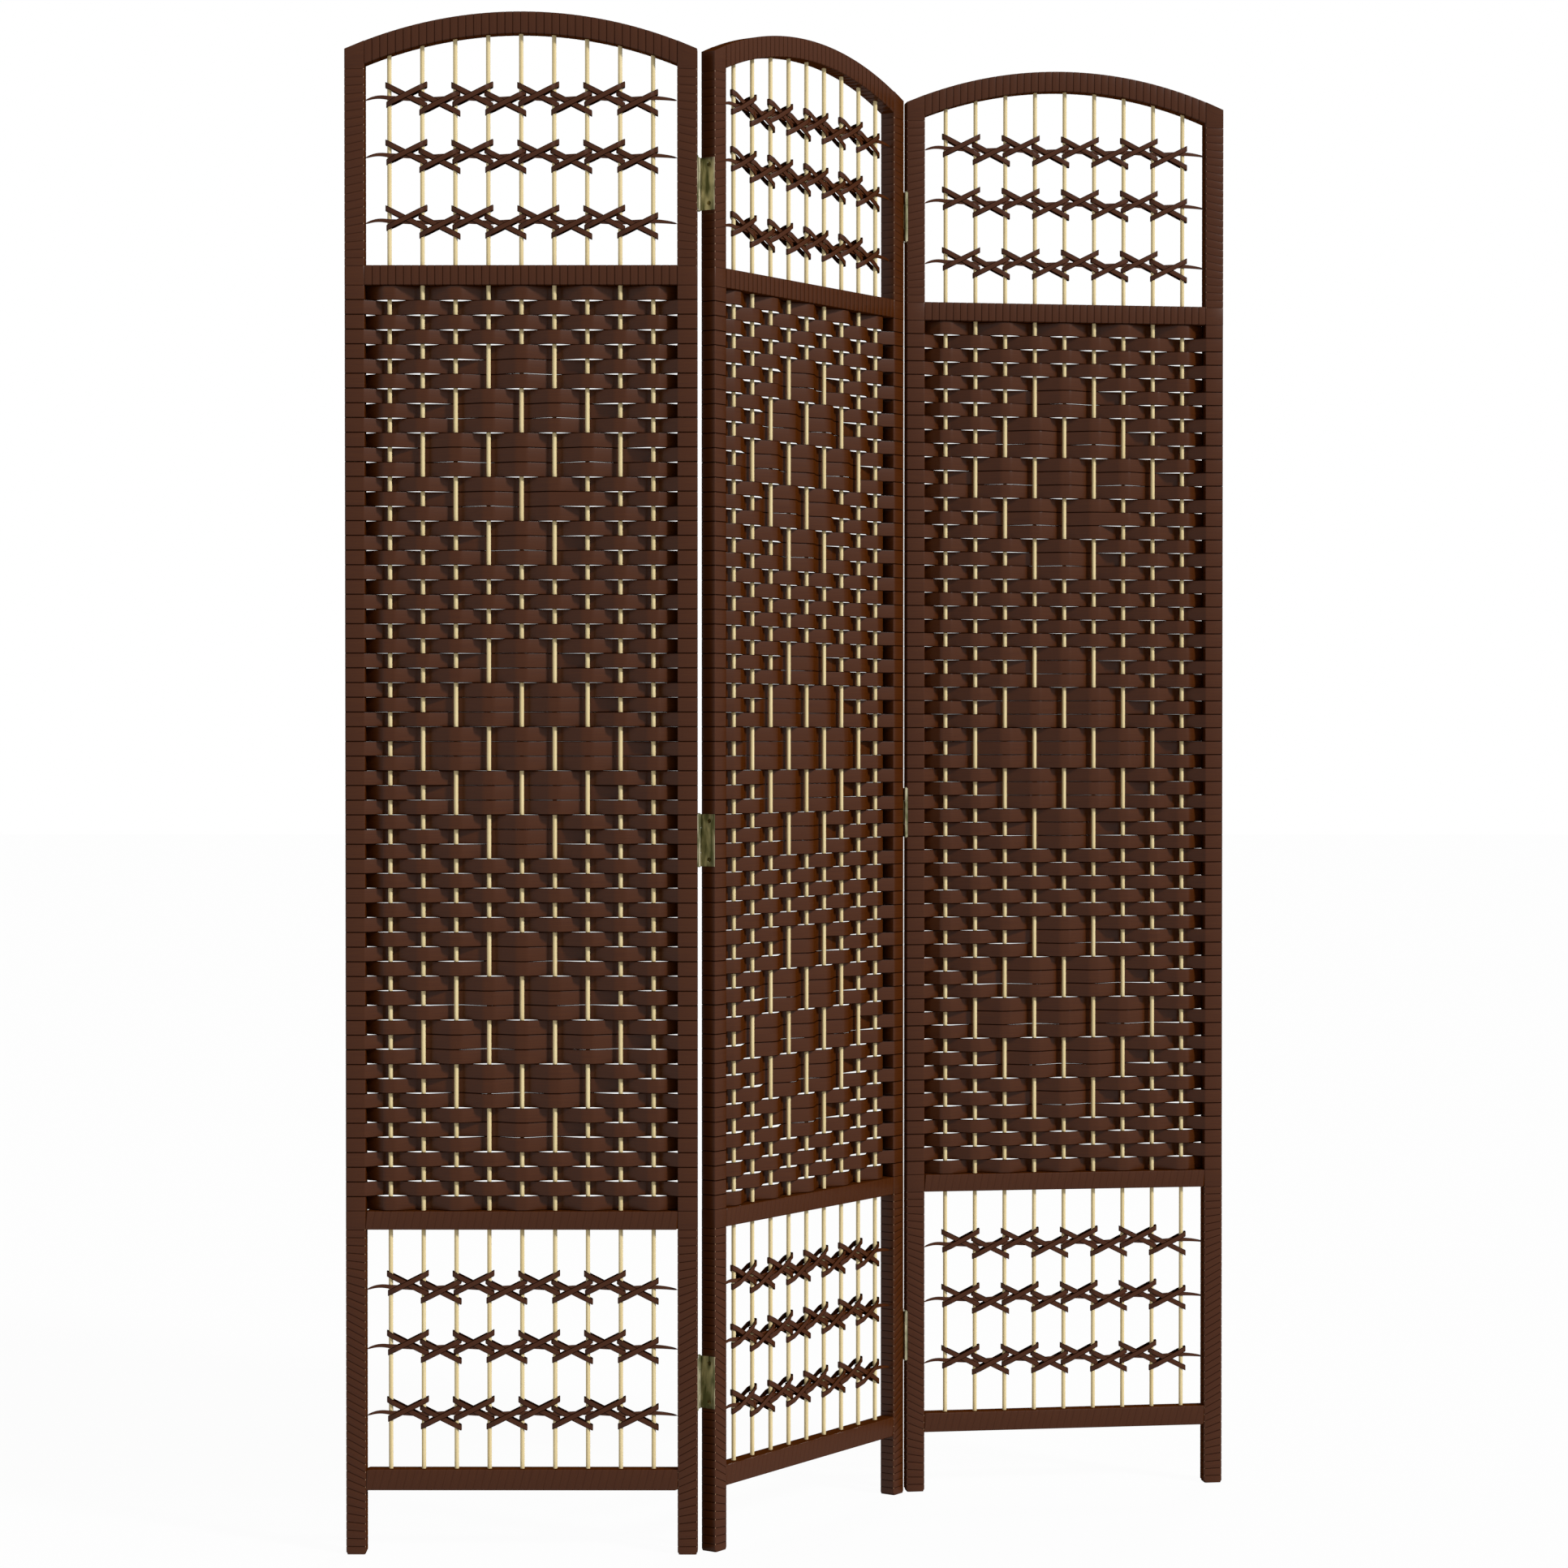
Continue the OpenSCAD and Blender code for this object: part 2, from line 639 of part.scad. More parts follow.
hinge_at(1, 0, 1, 0) leaf(true);  // left_hinge_outer_leaves
hinge_at(0, 1, 1, 0) leaf(false);  // left_hinge_inner_leaves
hinge_at(1, 0, 1, 0) pin();  // left_hinge_pins
hinge_at(1, 0, 1, 0) screws();  // left_hinge_outer_screws
hinge_at(0, 1, 1, 0) screws();  // left_hinge_inner_screws
hinge_at(1, 1, -1, 1) leaf(true);  // right_hinge_outer_leaves
hinge_at(2, 0, -1, 1) leaf(false);  // right_hinge_inner_leaves
hinge_at(1, 1, -1, 1) pin();  // right_hinge_pins
hinge_at(1, 1, -1, 1) screws();  // right_hinge_outer_screws
hinge_at(2, 0, -1, 1) screws();  // right_hinge_inner_screws
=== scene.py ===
import json

import bpy
import numpy as np
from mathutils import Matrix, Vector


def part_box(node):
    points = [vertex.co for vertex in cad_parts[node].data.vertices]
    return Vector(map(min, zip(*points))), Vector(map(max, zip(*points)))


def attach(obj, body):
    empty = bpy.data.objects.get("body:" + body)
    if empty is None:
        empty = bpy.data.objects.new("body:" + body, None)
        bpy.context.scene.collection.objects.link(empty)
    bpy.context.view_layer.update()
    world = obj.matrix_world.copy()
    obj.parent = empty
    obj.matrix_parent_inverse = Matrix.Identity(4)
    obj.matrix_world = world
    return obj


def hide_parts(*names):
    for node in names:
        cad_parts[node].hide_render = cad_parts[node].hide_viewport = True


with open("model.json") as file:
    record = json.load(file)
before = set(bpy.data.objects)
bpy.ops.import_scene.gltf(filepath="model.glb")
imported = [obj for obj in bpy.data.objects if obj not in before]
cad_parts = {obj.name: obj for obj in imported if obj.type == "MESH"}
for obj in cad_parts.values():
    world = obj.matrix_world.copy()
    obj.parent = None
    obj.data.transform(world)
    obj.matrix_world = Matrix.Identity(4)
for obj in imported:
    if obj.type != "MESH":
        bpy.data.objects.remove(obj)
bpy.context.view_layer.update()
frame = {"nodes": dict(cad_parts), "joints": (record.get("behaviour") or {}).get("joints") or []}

# The three panels. They are alike, and stand in a zigzag on two lines of hinges. The left
# one stands along x. In a panel's own frame x runs from its left edge, y from its middle
# to the back, and z up from the floor.
mm = 0.001
panel_names = ["left_panel", "middle_panel", "right_panel"]
wrap_low, wrap_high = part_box("left_panel_post_wraps")
panel_w = wrap_high.x - wrap_low.x
panel_d = wrap_high.y - wrap_low.y
panel_gap = 2.6 * mm
axis_out = 2 * mm


def plan(angle):
    """Directions along and across a panel that is turned by an angle, as rows of two."""
    return np.array([[np.cos(angle), np.sin(angle)], [-np.sin(angle), np.cos(angle)]])


def hinge_line(name):
    """Place in plan of a hinge line, and the fold that opens it from in line to here."""
    joint = [j for j in frame["joints"] if j["name"] == name][0]
    return np.array(joint["pos_m"][:2]), np.radians(max(joint["range_deg"]))


left_line, left_fold = hinge_line("left_fold")
right_line, right_fold = hinge_line("right_fold")
panel_angles = [0, left_fold, left_fold - right_fold]
line_off = panel_d / 2 + axis_out
starts = [
    np.array([wrap_low.x, (wrap_low.y + wrap_high.y) / 2]),
    left_line + np.array([panel_gap / 2, -line_off]) @ plan(panel_angles[1]),
    right_line + np.array([panel_gap / 2, line_off]) @ plan(panel_angles[2]),
]


def standing(panel, points):
    """Points of a panel's own frame, turned and moved to where that panel stands."""
    placed = np.array(points, float)
    placed[..., :2] = placed[..., :2] @ plan(panel_angles[panel]) + starts[panel]
    return placed


# Posts and rails. Square softwood sticks and a bent one for the arch, sawn and left plain
# under the ribbon, so that only their ends at the floor show. They keep the CAD shape.
wrap_t = 1.2 * mm
post_core_low, post_core_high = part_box("left_panel_left_post")
post_w = post_core_high.x - post_core_low.x + 2 * wrap_t


def linear(hex_colour):
    """An sRGB hex colour as linear red, green, blue and alpha."""
    srgb = np.array([int(hex_colour[i : i + 2], 16) for i in (1, 3, 5)]) / 255
    straight = np.where(srgb <= 0.04045, srgb / 12.92, ((srgb + 0.055) / 1.055) ** 2.4)
    return (*straight, 1.0)


def add(tree, kind, inputs=(), **settings):
    """Adds a node. settings are its own properties, and inputs gives its sockets by name
    or number, each as a value or as the output that feeds it."""
    made = tree.nodes.new("ShaderNode" + kind)
    for name, value in settings.items():
        setattr(made, name, value)
    for name, value in dict(inputs).items():
        if isinstance(value, bpy.types.NodeSocket):
            tree.links.new(value, made.inputs[name])
        else:
            made.inputs[name].default_value = value
    return made


def finish_named(name):
    """A new material with an empty tree and its output."""
    material = bpy.data.materials.new(name)
    material.use_nodes = True
    material.node_tree.nodes.clear()
    return material, material.node_tree, material.node_tree.nodes.new("ShaderNodeOutputMaterial")


def grain(tree, across, along, dark, light):
    """Two tones in long streaks up the wood, across apart and along in length."""
    place = add(tree, "TexCoord").outputs["Object"]
    scale = (1 / across, 1 / across, 1 / along)
    stretched = add(tree, "Mapping", {"Vector": place, "Scale": scale})
    streaks = add(tree, "TexNoise", {"Vector": stretched.outputs[0], "Scale": 1.0, "Detail": 3.0})
    tones = add(tree, "ValToRGB", {"Fac": streaks.outputs["Fac"]})
    tones.color_ramp.elements[0].position = 0.3
    tones.color_ramp.elements[0].color = linear(dark)
    tones.color_ramp.elements[1].position = 0.7
    tones.color_ramp.elements[1].color = linear(light)
    return streaks, tones


def sawn_softwood():
    """Sawn softwood: dull, pale brown, with saw-rough growth rings 2.5 mm apart."""
    material, tree, output = finish_named("sawn_softwood")
    streaks, tones = grain(tree, 2.5 * mm, 60 * mm, "#7A5A3A", "#A98458")
    bump = add(tree, "Bump", {"Height": streaks.outputs["Fac"], "Strength": 0.3, "Distance": 0.2 * mm})
    wood = add(tree, "BsdfPrincipled", {
        "Base Color": tones.outputs["Color"], "Roughness": 0.75, "Normal": bump.outputs[0]})
    tree.links.new(wood.outputs[0], output.inputs[0])
    return material


def finish_nodes(names, material):
    """Gives CAD nodes their finish."""
    for name in names:
        node = frame["nodes"][name]
        node.data.materials.clear()
        node.data.materials.append(material)


wooden = ["left_post", "right_post", "arch_rail", "upper_rail", "lower_rail", "bottom_rail"]
finish_nodes([f"{p}_{n}" for p in panel_names for n in wooden], sawn_softwood())

# Rods. Nine upright sticks a panel, peeled and sanded, of pale natural wood. They keep the
# CAD shape and show a fine long grain.
rod_low, rod_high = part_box("left_panel_rods")
rod_d = rod_high.y - rod_low.y
rod_count = 9
rod_x = np.linspace(rod_low.x + rod_d / 2, rod_high.x - rod_d / 2, rod_count) - starts[0][0]
rod_pitch = rod_x[1] - rod_x[0]


def sanded_rod():
    """Sanded pale wood: cream, satin, with grain 1.2 mm wide and 90 mm long."""
    material, tree, output = finish_named("sanded_pale_wood")
    streaks, tones = grain(tree, 1.2 * mm, 90 * mm, "#CFB984", "#DECD9F")
    bump = add(tree, "Bump", {"Height": streaks.outputs["Fac"], "Strength": 0.15, "Distance": 0.1 * mm})
    wood = add(tree, "BsdfPrincipled", {
        "Base Color": tones.outputs["Color"], "Roughness": 0.5, "Normal": bump.outputs[0],
        "Specular IOR Level": 0.3})
    tree.links.new(wood.outputs[0], output.inputs[0])
    return material


finish_nodes([f"{p}_rods" for p in panel_names], sanded_rod())

# Woven ribbons. Flat ribbon of pressed paper fibre, dyed brown, wound once round both posts
# in every row and woven between the rods. Where the rods near the middle change sides, the
# rows make a diamond.
ribbon_t = 1.0 * mm
weave_depth = 12.8 * mm
level_run = 12 * mm
rod_bend = 2.6 * mm
post_bend = 1.0 * mm
row_count = 63
diamond_count = 3
diamond_first = 5
diamond_pitch = 20
diamond_step = 3
diamond_reach = 3
slip = (15, 7)
weave_low, weave_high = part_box("left_panel_woven_ribbons")
row_pitch = (weave_high.z - weave_low.z) / row_count
row_play = 0.02 * mm
ribbon_w = row_pitch - row_play
loose_gap = 0.45 * mm
loose_run = 21 * mm
row_shift = 1.7
# Width, depth and strength of the painted shade in the recess beside a post.
recess_w = 4 * mm
recess_depth = 2 * mm
recess_shade = 0.8
fibre_shift = 0.41


def rod_sides(row):
    """Side that a row passes each rod on, -1 in front and 1 behind. Rows and rods
    alternate. In every third row of a diamond the rods within reach of the middle change
    over, except at the one slip. The reach is 1, 2, 3, 2 and 1 rods in those rows."""
    rods = np.arange(1, rod_count + 1)
    step = row - diamond_first - 1
    from_top = (step % diamond_pitch) / diamond_step
    inside = 0 <= step < diamond_count * diamond_pitch and from_top == int(from_top)
    reach = diamond_reach - abs(from_top - diamond_reach + 1)
    reach = reach if inside and reach > 0 else -1
    changed = np.abs(rods - (rod_count + 1) / 2) <= reach
    changed &= (row != slip[0]) | (rods != slip[1])
    return np.where(((rods + row) % 2 == 1) != changed, 1, -1)


def softened(corners, reach, closed=False):
    """Path through corners with rounded bends: each station is the mean of the sharp path
    over reach to either side, which is one length or one for each corner. There are four
    stations to a bend."""
    corners = np.array(corners, float)
    reach = np.broadcast_to(reach, len(corners))
    legs = np.diff(np.vstack([corners, corners[:1]]), axis=0)
    at_corner = np.concatenate([[0], np.linalg.norm(legs, axis=1).cumsum()])
    length = at_corner[-1] if closed else at_corner[-2]
    at = (at_corner[:-1, None] + reach[:, None] * np.linspace(-1, 1, 4)).ravel()
    at = at % length if closed else np.clip(at, 0, length)
    at = np.unique(at.round(7))
    period = length if closed else None
    reach = np.interp(at, at_corner[:-1], reach, period=period)
    spread = at[:, None] + reach[:, None] * np.linspace(-1, 1, 9)
    sides = [np.interp(spread, at_corner[:-1], corners[:, i], period=period) for i in (0, 1)]
    return np.stack([side.mean(1) for side in sides], 1)


def ribbon(path, height, width, thickness, closed=False, margin=0.12):
    """Flat ribbon on edge along a path in plan: a profile of twelve corners with softened
    edges, out from the path and up, carried along it. Its first six corners lie on the
    left of the path. Also gives a painted shade of 1 at the edges and 0 on the flats, which
    fades within a margin that is a share of half the width. This painted shade stands in
    for the shade in the narrow gaps between ribbons."""
    ahead = np.roll(path, -1, 0) - np.roll(path, 1, 0)
    if not closed:
        ahead[0] = path[1] - path[0]
        ahead[-1] = path[-1] - path[-2]
    ahead /= np.linalg.norm(ahead, axis=1)[:, None]
    left = np.stack([-ahead[:, 1], ahead[:, 0]], 1)
    up = np.array([-1, margin / 3 - 1, margin - 1, 1 - margin, 1 - margin / 3, 1])
    out = np.array([0.2, 0.42, 0.5, 0.5, 0.42, 0.2]) * thickness
    up = np.concatenate([up, up[::-1]])
    out = np.concatenate([out, -out])
    tall = np.broadcast_to(width, len(path))[:, None]
    points = np.empty((len(path), 12, 3))
    points[..., :2] = path[:, None] + left[:, None] * out[:, None]
    points[..., 2] = np.broadcast_to(height, len(path))[:, None] + up * tall / 2
    # Painted shade along both edges of the ribbon.
    return points, np.where(np.abs(up) > 1 - margin / 2, 1.0, 0.0)


def skin(points, edge, ring=False, fibre_on_path=True, start=0.0):
    """Skin of a profile carried along a path, from points[station, corner]. A ring joins
    its last station to its first, and otherwise each end gets a flat face. edge is 1 where
    shade is painted dark along an edge, a seam or a recess, and -1 where a highlight is
    painted light. The UV map is in metres along and across the fibres, and begins at start
    along the path. The sign of the volume turns faces outwards."""
    stations, corners = points.shape[:2]
    count = stations if ring else stations - 1
    i, j = np.meshgrid(np.arange(count), np.arange(corners), indexing="ij")
    near, far = i * corners, (i + 1) % stations * corners
    beside = (j + 1) % corners
    faces = np.stack([near + j, near + beside, far + beside, far + j], -1).reshape(-1, 4)
    middle = points.mean(1)
    steps = np.linalg.norm(np.diff(np.vstack([middle, middle[:1]]), axis=0), axis=1)
    along = start + np.concatenate([[0], steps.cumsum()])
    sides = np.linalg.norm(np.roll(points[0], -1, 0) - points[0], axis=1)
    around = np.concatenate([[0], sides.cumsum()])
    u = np.stack([along[i], along[i], along[i + 1], along[i + 1]], -1)
    v = np.stack([around[j], around[j + 1], around[j + 1], around[j]], -1)
    uv = np.stack([u, v] if fibre_on_path else [v, u], -1).reshape(-1, 4, 2)
    co = points.reshape(-1, 3)
    ends = np.arange(corners)
    caps = [] if ring else [ends[::-1], ends + (stations - 1) * corners]
    fans = [np.stack([np.full(corners - 2, c[0]), c[1:-1], c[2:]], 1) for c in caps]
    triangles = np.vstack([faces[:, :3], faces[:, [0, 2, 3]], *fans])
    a, b, c = (co[triangles[:, n]] for n in range(3))
    if np.einsum("ij,ij->", a, np.cross(b, c)) < 0:
        faces, uv, caps = faces[:, ::-1], uv[:, ::-1], [cap[::-1] for cap in caps]
    shade = np.broadcast_to(edge, (stations, corners)).ravel()
    return {"co": co, "edge": shade, "faces": faces, "uv": uv, "caps": caps}


def fibre_piece(name, skins, panel, stands_for, material):
    """One mesh of several skins, put where its panel stands, in place of a CAD node."""
    firsts = np.cumsum([0] + [len(s["co"]) for s in skins])
    quads = [(s["faces"] + first).ravel() for s, first in zip(skins, firsts)]
    caps = [cap + first for s, first in zip(skins, firsts) for cap in s["caps"]]
    totals = np.concatenate([np.full(sum(map(len, quads)) // 4, 4), [len(cap) for cap in caps]])
    corner_uv = [s["uv"].reshape(-1, 2) for s in skins] + [np.zeros((len(cap), 2)) for cap in caps]
    co = standing(panel, np.vstack([s["co"] for s in skins]))
    mesh = bpy.data.meshes.new(name)
    mesh.vertices.add(len(co))
    mesh.vertices.foreach_set("co", co.ravel())
    mesh.loops.add(int(totals.sum()))
    mesh.loops.foreach_set("vertex_index", np.concatenate(quads + caps).astype(np.int32))
    mesh.polygons.add(len(totals))
    mesh.polygons.foreach_set("loop_start", np.concatenate([[0], totals.cumsum()[:-1]]).astype(np.int32))
    mesh.update(calc_edges=True)
    uv_map = mesh.uv_layers.new(name="fibres")
    uv_map.data.foreach_set("uv", np.vstack(corner_uv).ravel())
    # This attribute carries the ribbon's painted shade, above 0, and its painted highlights, below 0.
    shade = mesh.attributes.new("painted_shade_and_glint", "FLOAT", "POINT")
    shade.data.foreach_set("value", np.concatenate([s["edge"] for s in skins]).astype(np.float32))
    mesh.shade_smooth()
    mesh.set_sharp_from_angle(angle=np.radians(32))
    mesh.materials.append(material)
    piece = bpy.data.objects.new(name, mesh)
    bpy.context.scene.collection.objects.link(piece)
    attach(piece, panel_names[panel])
    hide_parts(stands_for)


def dyed_paper_fibre():
    """Pressed and dyed paper fibre: deep brown and flat, with a thin grey gloss over it
    that fades when it is seen aslant, as on a fibrous face. Fibres run along the ribbon in
    streaks 1.2 mm wide and 35 mm long, which is coarser than the real ones, so that they
    show. Painted shade makes the edges, seams, recesses and loop insides near black and
    takes the gloss off them, and painted highlights make small tan specks."""
    material, tree, output = finish_named("dyed_paper_fibre")
    uv = add(tree, "UVMap", uv_map="fibres").outputs[0]
    stretched = add(tree, "Mapping", {"Vector": uv, "Scale": (1 / (35 * mm), 1 / (1.2 * mm), 1)})
    fibres = add(tree, "TexNoise", {"Vector": stretched.outputs[0], "Scale": 1.0, "Detail": 4.0})
    tones = add(tree, "ValToRGB", {"Fac": fibres.outputs["Fac"]})
    tones.color_ramp.elements[0].position = 0.25
    tones.color_ramp.elements[0].color = linear("#3C1A05")
    tones.color_ramp.elements[1].position = 0.75
    tones.color_ramp.elements[1].color = linear("#442108")
    # The attribute holds painted shade above 0 and painted highlights below 0.
    edge = add(tree, "Attribute", attribute_name="painted_shade_and_glint").outputs["Fac"]
    painted_glint = add(tree, "Math", {0: edge, 1: -1.0}, operation="MULTIPLY")
    # Painted shade: towards near-black brown where the attribute is above 0.
    shade = add(tree, "Mix", {
        0: edge, 6: tones.outputs["Color"], 7: linear("#180802")}, data_type="RGBA")
    # Painted highlight: towards tan where the attribute is below 0.
    tan = add(tree, "Mix", {
        0: painted_glint.outputs[0], 6: shade.outputs[2], 7: linear("#AA8868")}, data_type="RGBA")
    bump = add(tree, "Bump", {"Height": fibres.outputs["Fac"], "Strength": 0.15, "Distance": 0.1 * mm})
    aslant = add(tree, "LayerWeight", {"Blend": 0.5}).outputs["Facing"]
    sheen = add(tree, "MapRange", {
        "Value": aslant, "From Min": 0.1, "From Max": 0.7, "To Min": 0.19, "To Max": 0.0},
        interpolation_type="SMOOTHSTEP")
    # The gloss is taken off where shade is painted.
    flat = add(tree, "Math", {0: 1.0, 1: edge}, operation="SUBTRACT", use_clamp=True)
    gloss = add(tree, "Math", {0: sheen.outputs[0], 1: flat.outputs[0]}, operation="MULTIPLY")
    paper = add(tree, "BsdfPrincipled", {
        "Base Color": tan.outputs[2], "Roughness": 0.32, "Specular IOR Level": 0.19,
        "Normal": bump.outputs[0]})
    tree.links.new(gloss.outputs[0], paper.inputs["Specular IOR Level"])
    tree.links.new(paper.outputs[0], output.inputs[0])
    return material


def woven_row(row):
    """One row: from the side of the left post that faces the rods, round that post, on
    past the rods, and round the right post. Where a row floats over several rods, its
    lower edge draws up from the next row by loose sin(x / loose_run + row_shift row) if
    that is above 0. loose grows away from the middle of the weave. The row gets painted
    shade in the recess beside a post."""
    sides = rod_sides(row)
    face = -sides[0] * (panel_d - ribbon_t) / 2
    out = ribbon_t / 2
    post = post_w - out
    left = [(post, face * 0.7), (post, -face), (out, -face), (out, face), (post - out, face)]
    right = [(panel_w - x, y) for x, y in left[::-1]]
    rods = [(x + s * level_run / 2, y * weave_depth / 2) for x, y in zip(rod_x, sides) for s in (-1, 1)]
    bends = [post_bend] * len(left) + [rod_bend] * len(rods) + [post_bend] * len(right)
    path = softened(left + rods + right, bends)
    floats = (sides[1:] == sides[:-1]).any()
    loose = floats * abs(2 * row / row_count - 1) * loose_gap
    gap = loose * np.clip(np.sin(path[:, 0] / loose_run + row_shift * row), 0, 1)
    height = weave_high.z - (row - 0.5) * row_pitch + gap / 2
    points, edge = ribbon(path, height, ribbon_w - gap, ribbon_t)
    # Painted shade in the recess beside each post, where the row dives behind it.
    from_edge = np.minimum(path[:, 0], panel_w - path[:, 0])
    beside_post = (from_edge > post_w - ribbon_t) & (from_edge < post_w + recess_w)
    within = np.abs(path[:, 1]) < panel_d / 2 - recess_depth
    edge = np.maximum(edge, recess_shade * (beside_post & within)[:, None])
    return skin(points, edge, start=fibre_shift * row)


paper_fibre = dyed_paper_fibre()
for panel, name in enumerate(panel_names):
    rows = [woven_row(row) for row in range(1, row_count + 1)]
    fibre_piece(f"{name}_weave", rows, panel, f"{name}_woven_ribbons", paper_fibre)

# Wraps of the posts. Narrower ribbon wound round each post, below the weave and above it.
# Its turns lie level beside a rail and slant in between, down towards the rods below the
# weave and up towards them above it.
turn_w = 8.85 * mm
edge_r = 1.2 * mm
edge_steps = 4
# Corners of a post's wrap outline that get a painted highlight at each groove.
glint_corners = [2, 3, 6, 7, 12, 13, 16, 17]
groove = 0.2 * mm
core_play = 0.1 * mm
bore_r = 0.3 * mm
foot_chamfer = 2.5 * mm
lower_slant = np.radians(29)
upper_slant = np.radians(13)
lower_run = 115 * mm
arch_run = 110 * mm
upper_run = 60 * mm
band_step = 0.5 * mm
top_step = 0.6 * mm
# Strengths of the painted shade in the grooves below and above the weave.
lower_seam = 1.0
upper_seam = 0.6
arch_rise = 41 * mm
plain_top = 22 * mm
screen_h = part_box("left_panel_rail_wraps")[1].z
arch_r = ((panel_w / 2) ** 2 + arch_rise**2) / (2 * arch_rise)


def rail_span(name):
    """Lowest and highest point of a straight rail with its wrap."""
    low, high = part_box(f"left_panel_{name}")
    return low.z - wrap_t, high.z + wrap_t


def arch_z(x, inset=0.0):
    """Height at x of the arch's outer curve, or of the same circle drawn in by inset."""
    return screen_h - arch_r + np.sqrt((arch_r - inset) ** 2 - (x - panel_w / 2) ** 2)


def round_box(low, high, radius, inset=0.0):
    """Corners of an upright rectangle in a plane, rounded in a few steps a corner and
    drawn in by inset, one rectangle for each inset."""
    angles = np.radians(np.arange(4)[:, None] * 90 + np.linspace(0, 90, edge_steps + 1)).ravel()
    middle = (np.array(low) + high) / 2
    half = (np.array(high) - low) / 2 - radius
    signs = np.array([[1, 1], [-1, 1], [-1, -1], [1, -1]]).repeat(edge_steps + 1, 0)
    way = np.stack([np.cos(angles), np.sin(angles)], 1)
    return middle + signs * half + way * (radius - np.asarray(inset)[..., None, None])


def turns_between(low, high, width, depth):
    """Stations of wound turns of about that width from low to high, and how far in each
    lies: depth between two turns, and nothing on a turn."""
    count = round((high - low) / width)
    share = np.array([0.05, 0.1, 0.5, 0.9, 0.95, 1])
    inset = np.array([0.4, 0, 0, 0, 0.4, 1]) * depth
    at = low + (high - low) / count * (np.arange(count)[:, None] + share).ravel()
    return at, np.tile(inset, count)


def ease(x):
    """Smooth step from 0 to 1."""
    x = np.clip(x, 0, 1)
    return x * x * (3 - 2 * x)


def post_rings(left, at, inset, slant):
    """Rounded outline of a post's wrap at each height. A turn that slants lies at
    z = at - slant (x - middle of the post), with slant the same all round."""
    x0 = 0 if left else panel_w - post_w
    rings = round_box((x0, -panel_d / 2), (x0 + post_w, panel_d / 2), edge_r, inset)
    tilt = (slant if left else -slant)[:, None] * (rings[..., 0] - x0 - post_w / 2)
    return np.concatenate([rings, (at[:, None] - tilt)[..., None]], -1)


def post_bore(left, heights):
    """Inner outline of a post's wrap, just clear of the wood, at some heights."""
    x0 = 0 if left else panel_w - post_w
    wall = wrap_t - core_play
    low, high = (x0 + wall, wall - panel_d / 2), (x0 + post_w - wall, panel_d / 2 - wall)
    ring = round_box(low, high, bore_r)
    return np.stack([np.column_stack([ring, np.full(len(ring), z)]) for z in heights])


def seams(inset, strength):
    """Painted shade and highlights of a post's wrap: painted shade in the grooves by strength,
    and a painted highlight where a groove passes one of the four edges."""
    shade = np.repeat(strength * (inset / groove)[:, None], 4 * (edge_steps + 1), 1)
    shade[:, glint_corners] *= -1 / strength
    return shade


def lower_wrap(left):
    """Open sleeve from the floor to the weave, with a chamfered foot and a plain band
    beside the lower rail. The slant eases in from the floor and out towards the rail."""
    rail = rail_span("lower_rail")[0]
    at, inset = turns_between(0, rail, turn_w, groove)
    at = np.concatenate([[0, foot_chamfer], at[2:], [rail + band_step, weave_low.z]])
    inset = np.concatenate([[0, 0], inset[2:], [0, 0]])
    steep = np.tan(lower_slant) * ease((rail - at) / lower_run) * ease(at / lower_run)
    outer = post_rings(left, at, inset, steep)
    cut = np.maximum(0, foot_chamfer - outer[..., 2])
    x0 = 0 if left else panel_w - post_w
    outer[..., 0] = np.clip(outer[..., 0], x0 + cut, x0 + post_w - cut)
    points = np.concatenate([outer, post_bore(left, [weave_low.z, 0])])
    edge = seams(np.concatenate([inset, [0, 0]]), lower_seam)
    return skin(points, edge, ring=True, fibre_on_path=False, start=x0)


def upper_wrap(left):
    """Sleeve from the weave to the arch, closed over the post's end along the arch, with a
    plain band beside the upper rail and plain ribbon at the top. The slant eases in from
    the rail and out towards the arch."""
    rail = rail_span("upper_rail")[1]
    corner = screen_h - arch_rise
    at, inset = turns_between(rail, corner - plain_top, turn_w, groove)
    steep = -np.tan(upper_slant) * ease((corner - at) / arch_run) * ease((at - rail) / upper_run)
    at = np.concatenate([[weave_high.z, rail - band_step, rail], at, at[-1:] + top_step])
    inset = np.concatenate([[0, 0, groove], inset, [0]])
    rings = post_rings(left, at, inset, np.concatenate([[0, 0, 0], steep, steep[-1:]]))
    top = post_rings(left, np.array([corner]), np.zeros(1), np.zeros(1))
    top[..., 2] = arch_z(top[..., 0])
    bore = post_bore(left, [corner, weave_high.z])
    bore[0, :, 2] = arch_z(bore[0, :, 0]) - wrap_t
    edge = seams(np.concatenate([[0, 0], inset, [0]]), upper_seam)
    points = np.concatenate([bore, rings, top])
    return skin(points, edge, fibre_on_path=False, start=0.3 if left else 0.9)


for panel, name in enumerate(panel_names):
    wraps = [wrap(left) for wrap in (lower_wrap, upper_wrap) for left in (True, False)]
    fibre_piece(f"{name}_post_winding", wraps, panel, f"{name}_post_wraps", paper_fibre)

# Wraps of the rails. The same ribbon wound round the straight rails and round the arch
# between the posts. Its turns are plain to see on the upper rail and the arch, and lie
# closer and flatter on the two lower rails.
arch_h = 23.7 * mm
rail_turn_w = 8.55 * mm
proud = 1.2 * mm


def rail_turns(depth):
    """Stations of the turns from post to post and how far in each lies, with both ends
    plain."""
    at, inset = turns_between(post_w, panel_w - post_w, rail_turn_w, depth)
    inset[-1] = 0
    return np.concatenate([[post_w], at]), np.concatenate([[0], inset])


